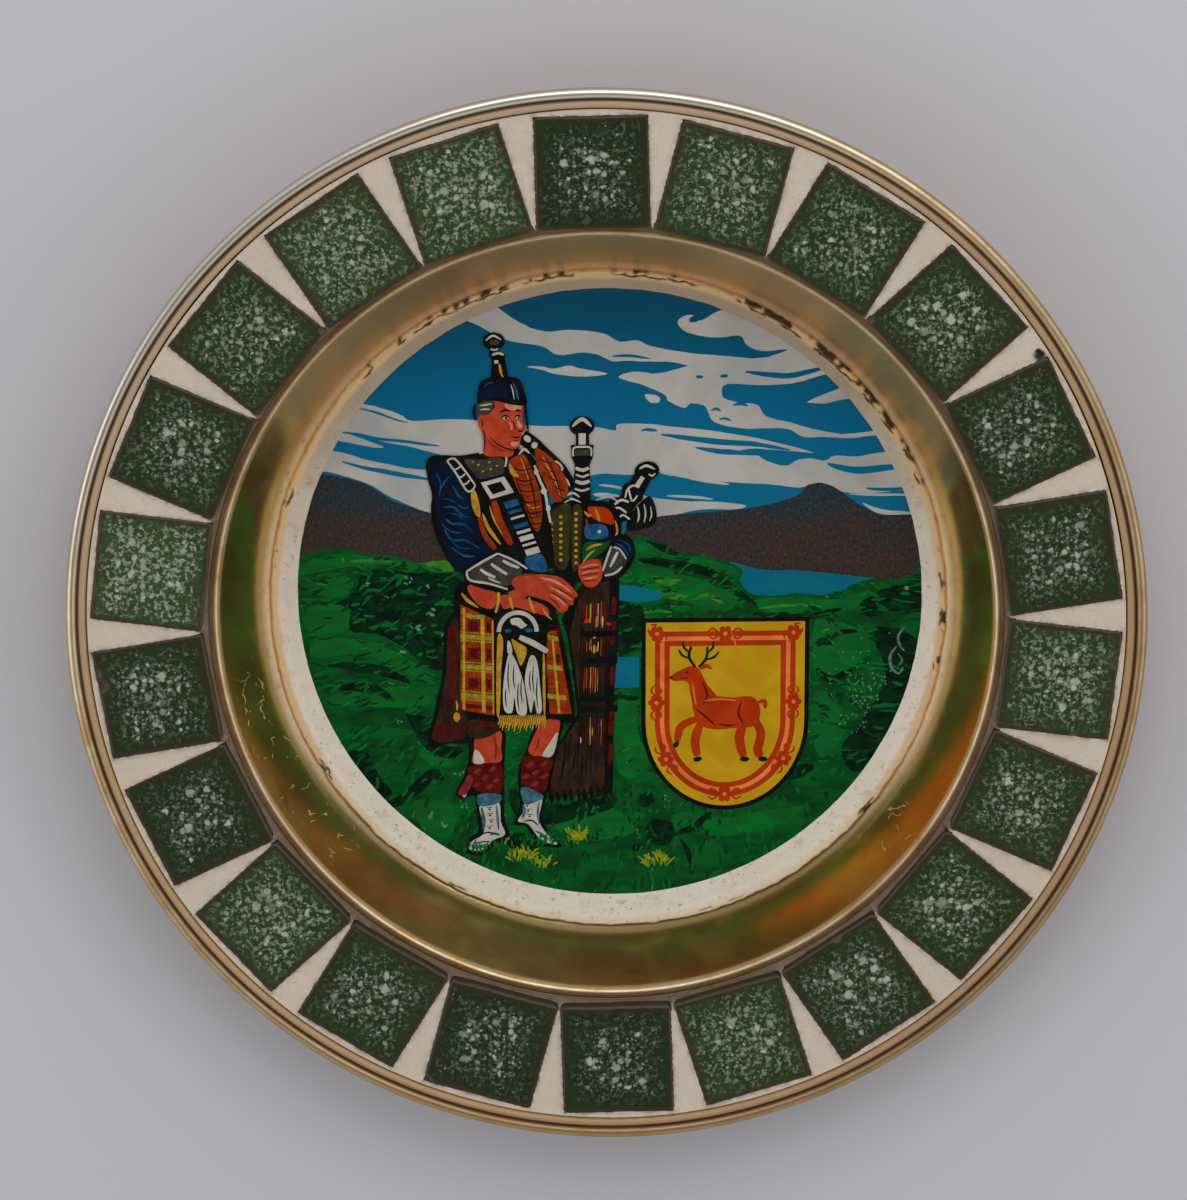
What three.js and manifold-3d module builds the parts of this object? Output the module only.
// A souvenir plate: a pressed brass dish whose flat border holds a ring of square glass tiles in
// grout, and whose well holds a printed picture disc in a thin bed of plaster.
// Millimetres, +Z up. The origin is the centre of the flat base, and the picture's top is at +Y.

import Module from 'manifold-3d';
import * as THREE from 'three';
import { mergeVertices } from 'three/addons/utils/BufferGeometryUtils.js';

const wasm = await Module();
wasm.setup();

// Driving dimensions of the dish
const RIM_RADIUS = 95;
const HEIGHT = 20.2;
const SHEET = 0.9;
const TURN_STEPS = 72;

// The well: a flat floor, a round fillet and a straight sloping wall
const FLOOR_RADIUS = 55.4;
const FILLET_RADIUS = 8;
const WALL_SLOPE = THREE.MathUtils.degToRad(58);

// The folded lip between the wall and the border
const LIP_RADIUS = 69.2;
const LIP_ROUND = 0.7;
const CHANNEL_FLOOR = 15;
const LIP_CENTRE_Z = CHANNEL_FLOOR + 0.3 - LIP_ROUND;

// The rim: an outer bead, a groove, and a narrower lip that holds the grout in
const BEAD_ROUND = 1;
const INNER_LIP_ROUND = 0.8;
const INNER_LIP_DROP = 0.2;
const GROOVE_DEPTH = 0.9;
const CHANNEL_RADIUS = RIM_RADIUS - 3.5;

// Glass tiles
const TILE_COUNT = 22;
const TILE_SIDE = 19.9;
const TILE_THICKNESS = 4;
const TILE_RING_RADIUS = 80.3;
const TILE_TOP = HEIGHT - 0.3;
const TILE_CORNER = 0.6;
const TILE_EDGE = 0.35;
const FIRST_TILE_TURN = THREE.MathUtils.degToRad(1.6);
const TILE_TWIST = THREE.MathUtils.degToRad(0.35);

// Grout, plaster and picture
const GAP = 0.3;
const GROUT_TOP = TILE_TOP - 0.4;
const GROUT_LAYER = 0.4;
const BED_TOP = 2.6;
const BED_LAYER = 0.4;
const PICTURE_RADIUS = 55.8;
const PICTURE_TOP = 2.75;
const PICTURE_THICKNESS = 0.8;
const PICTURE_OFFSET = new THREE.Vector2(0.3, 1.3);

const MATERIALS = {
  brass: { color: 0xb08a45, roughness: 0.28, metalness: 1 },
  grout: { color: 0xc8beb2, roughness: 0.85, metalness: 0 },
  glass: { color: 0x1f4a30, roughness: 0.15, metalness: 0 },
  plaster: { color: 0xd2c4b6, roughness: 0.85, metalness: 0 },
  print: { color: 0x2f7a86, roughness: 0.4, metalness: 0 },
};

function mesh(name, geometry, look) {
  const part = new THREE.Mesh(geometry, new THREE.MeshStandardMaterial(MATERIALS[look]));
  part.name = name;
  return part;
}

// Turns a closed section of (radius, height) points round the Z axis.
function turned(points) {
  const geometry = new THREE.LatheGeometry(points, TURN_STEPS);
  geometry.rotateX(Math.PI / 2);
  return geometry;
}

function toSolid(geometry) {
  const bare = geometry.clone();
  bare.deleteAttribute('normal');
  bare.deleteAttribute('uv');
  const merged = mergeVertices(bare, 1e-4);
  const vertProperties = new Float32Array(merged.attributes.position.array);
  const triVerts = new Uint32Array(merged.index.array);
  return new wasm.Manifold(new wasm.Mesh({ numProp: 3, vertProperties, triVerts }));
}

function toGeometry(solid) {
  const found = solid.getMesh();
  const geometry = new THREE.BufferGeometry();
  geometry.setAttribute('position', new THREE.BufferAttribute(found.vertProperties, found.numProp));
  geometry.setIndex(new THREE.BufferAttribute(found.triVerts, 1));
  return geometry;
}

function subtractAll(geometry, cutters) {
  let solid = toSolid(geometry);
  for (const cutter of cutters) {
    solid = solid.subtract(toSolid(cutter));
  }
  return toGeometry(solid);
}

// Points of an arc in the section, with its start and end angles in degrees.
function arc(x, z, radius, from, to, steps) {
  const points = [];
  for (let i = 0; i <= steps; i += 1) {
    const angle = THREE.MathUtils.degToRad(from + ((to - from) * i) / steps);
    points.push(new THREE.Vector2(x + radius * Math.cos(angle), z + radius * Math.sin(angle)));
  }
  return points;
}

// The top of the sheet, from the rim's bead to the middle of the well's floor.
function dishTopSection() {
  const slopeDegrees = THREE.MathUtils.radToDeg(WALL_SLOPE);
  const beadZ = HEIGHT - BEAD_ROUND;
  const innerLipZ = HEIGHT - INNER_LIP_DROP - INNER_LIP_ROUND;
  const grooveRadius = RIM_RADIUS - 2 * BEAD_ROUND;
  const lipEnd = THREE.MathUtils.radToDeg(Math.asin((CHANNEL_FLOOR - LIP_CENTRE_Z) / LIP_ROUND));
  return [
    ...arc(RIM_RADIUS - BEAD_ROUND, beadZ, BEAD_ROUND, -90, 150, 8),
    new THREE.Vector2(grooveRadius, HEIGHT - GROOVE_DEPTH),
    ...arc(CHANNEL_RADIUS + INNER_LIP_ROUND, innerLipZ, INNER_LIP_ROUND, 20, 180, 5),
    new THREE.Vector2(CHANNEL_RADIUS, CHANNEL_FLOOR),
    ...arc(LIP_RADIUS, LIP_CENTRE_Z, LIP_ROUND, lipEnd, 90 + slopeDegrees, 4),
    ...arc(FLOOR_RADIUS, SHEET + FILLET_RADIUS, FILLET_RADIUS, slopeDegrees - 90, -90, 5),
    new THREE.Vector2(0, SHEET),
  ];
}

// The underside of the sheet, from the middle of the base out to the rim.
function dishUnderSection() {
  const slopeDegrees = THREE.MathUtils.radToDeg(WALL_SLOPE);
  const underChannel = CHANNEL_FLOOR - SHEET;
  const outside = FILLET_RADIUS + SHEET;
  const wall = arc(FLOOR_RADIUS, outside, outside, -90, slopeDegrees - 90, 5);
  const foot = wall[wall.length - 1];
  const wallRun = (underChannel - foot.y) / Math.tan(WALL_SLOPE);
  const skirt = RIM_RADIUS - 2 * BEAD_ROUND;
  return [
    new THREE.Vector2(0, 0),
    ...wall,
    new THREE.Vector2(foot.x + wallRun, underChannel),
    ...arc(skirt - SHEET, underChannel + SHEET, SHEET, -90, 0, 2),
    new THREE.Vector2(skirt, HEIGHT - 2 * BEAD_ROUND),
  ];
}

function dish() {
  return mesh('dish', turned([...dishUnderSection(), ...dishTopSection()]), 'brass');
}

// Each tile sits square to the ring, with the small twist of a hand-laid row.
function tilePlace(index) {
  const turn = FIRST_TILE_TURN - (index * 2 * Math.PI) / TILE_COUNT;
  return {
    x: -TILE_RING_RADIUS * Math.sin(turn),
    y: TILE_RING_RADIUS * Math.cos(turn),
    turn: turn + TILE_TWIST * Math.sin(index * 2.4),
  };
}

function tileOutline(side, corner) {
  const half = side / 2;
  const outline = new THREE.Shape();
  outline.absarc(half - corner, half - corner, corner, 0, Math.PI / 2);
  outline.absarc(corner - half, half - corner, corner, Math.PI / 2, Math.PI);
  outline.absarc(corner - half, corner - half, corner, Math.PI, 1.5 * Math.PI);
  outline.absarc(half - corner, corner - half, corner, 1.5 * Math.PI, 2 * Math.PI);
  outline.closePath();
  return outline;
}

function tileGeometry() {
  const outline = tileOutline(TILE_SIDE - 2 * TILE_EDGE, TILE_CORNER);
  const geometry = new THREE.ExtrudeGeometry(outline, {
    depth: TILE_THICKNESS - 2 * TILE_EDGE,
    curveSegments: 2,
    bevelThickness: TILE_EDGE,
    bevelSize: TILE_EDGE,
    bevelSegments: 1,
  });
  geometry.translate(0, 0, TILE_EDGE);
  return geometry;
}

function tiles() {
  const ring = [];
  for (let i = 0; i < TILE_COUNT; i += 1) {
    const place = tilePlace(i);
    const name = `tile_${String(i + 1).padStart(2, '0')}`;
    const tile = mesh(name, tileGeometry(), 'glass');
    tile.position.set(place.x, place.y, TILE_TOP - TILE_THICKNESS);
    tile.rotation.z = place.turn;
    ring.push(tile);
  }
  return ring;
}

// The pocket that each tile leaves in the grout. It is open towards the well.
function tilePocket(index) {
  const place = tilePlace(index);
  const width = TILE_SIDE + 2 * GAP;
  const pocket = new THREE.BoxGeometry(width, width, TILE_THICKNESS + 1);
  pocket.translate(0, 0, TILE_TOP - TILE_THICKNESS - GAP + (TILE_THICKNESS + 1) / 2);
  pocket.rotateZ(place.turn);
  pocket.translate(place.x, place.y, 0);
  return pocket;
}

// Grout fills the border between the lip and the rim. A thin layer of it runs under the tiles.
function groutRing() {
  const bottom = TILE_TOP - TILE_THICKNESS - GAP - GROUT_LAYER;
  const inside = LIP_RADIUS + LIP_ROUND + GAP;
  const outside = CHANNEL_RADIUS - GAP;
  const section = [
    new THREE.Vector2(inside, bottom),
    new THREE.Vector2(outside, bottom),
    new THREE.Vector2(outside, GROUT_TOP),
    new THREE.Vector2(inside, GROUT_TOP),
    new THREE.Vector2(inside, bottom),
  ];
  const pockets = [];
  for (let i = 0; i < TILE_COUNT; i += 1) {
    pockets.push(tilePocket(i));
  }
  return mesh('grout_ring', subtractAll(turned(section), pockets), 'grout');
}

// The picture disc lies a little off the middle of the well.
function pictureDisc() {
  const section = [
    new THREE.Vector2(0, PICTURE_TOP - PICTURE_THICKNESS),
    new THREE.Vector2(PICTURE_RADIUS, PICTURE_TOP - PICTURE_THICKNESS),
    new THREE.Vector2(PICTURE_RADIUS, PICTURE_TOP),
    new THREE.Vector2(0, PICTURE_TOP),
  ];
  const disc = mesh('picture_disc', turned(section), 'print');
  disc.position.set(PICTURE_OFFSET.x, PICTURE_OFFSET.y, 0);
  return disc;
}

// Plaster poured into the well follows the fillet, and holds the picture disc in a shallow pocket.
function wellBed() {
  const bottom = PICTURE_TOP - PICTURE_THICKNESS - GAP - BED_LAYER;
  const round = FILLET_RADIUS - GAP;
  const centreZ = SHEET + FILLET_RADIUS;
  const edgeAt = (z) => THREE.MathUtils.radToDeg(Math.asin((z - centreZ) / round));
  const section = [
    new THREE.Vector2(0, bottom),
    ...arc(FLOOR_RADIUS, centreZ, round, edgeAt(bottom), edgeAt(BED_TOP), 3),
    new THREE.Vector2(0, BED_TOP),
  ];
  const pocketFloor = bottom + BED_LAYER;
  const pocketRadius = PICTURE_RADIUS + GAP;
  const pocket = new THREE.CylinderGeometry(pocketRadius, pocketRadius, BED_TOP, TURN_STEPS);
  pocket.rotateX(Math.PI / 2);
  pocket.translate(PICTURE_OFFSET.x, PICTURE_OFFSET.y, pocketFloor + BED_TOP / 2);
  return mesh('well_bed', subtractAll(turned(section), [pocket]), 'plaster');
}

const plate = new THREE.Group();
plate.add(dish(), groutRing(), ...tiles(), wellBed(), pictureDisc());

export default plate;
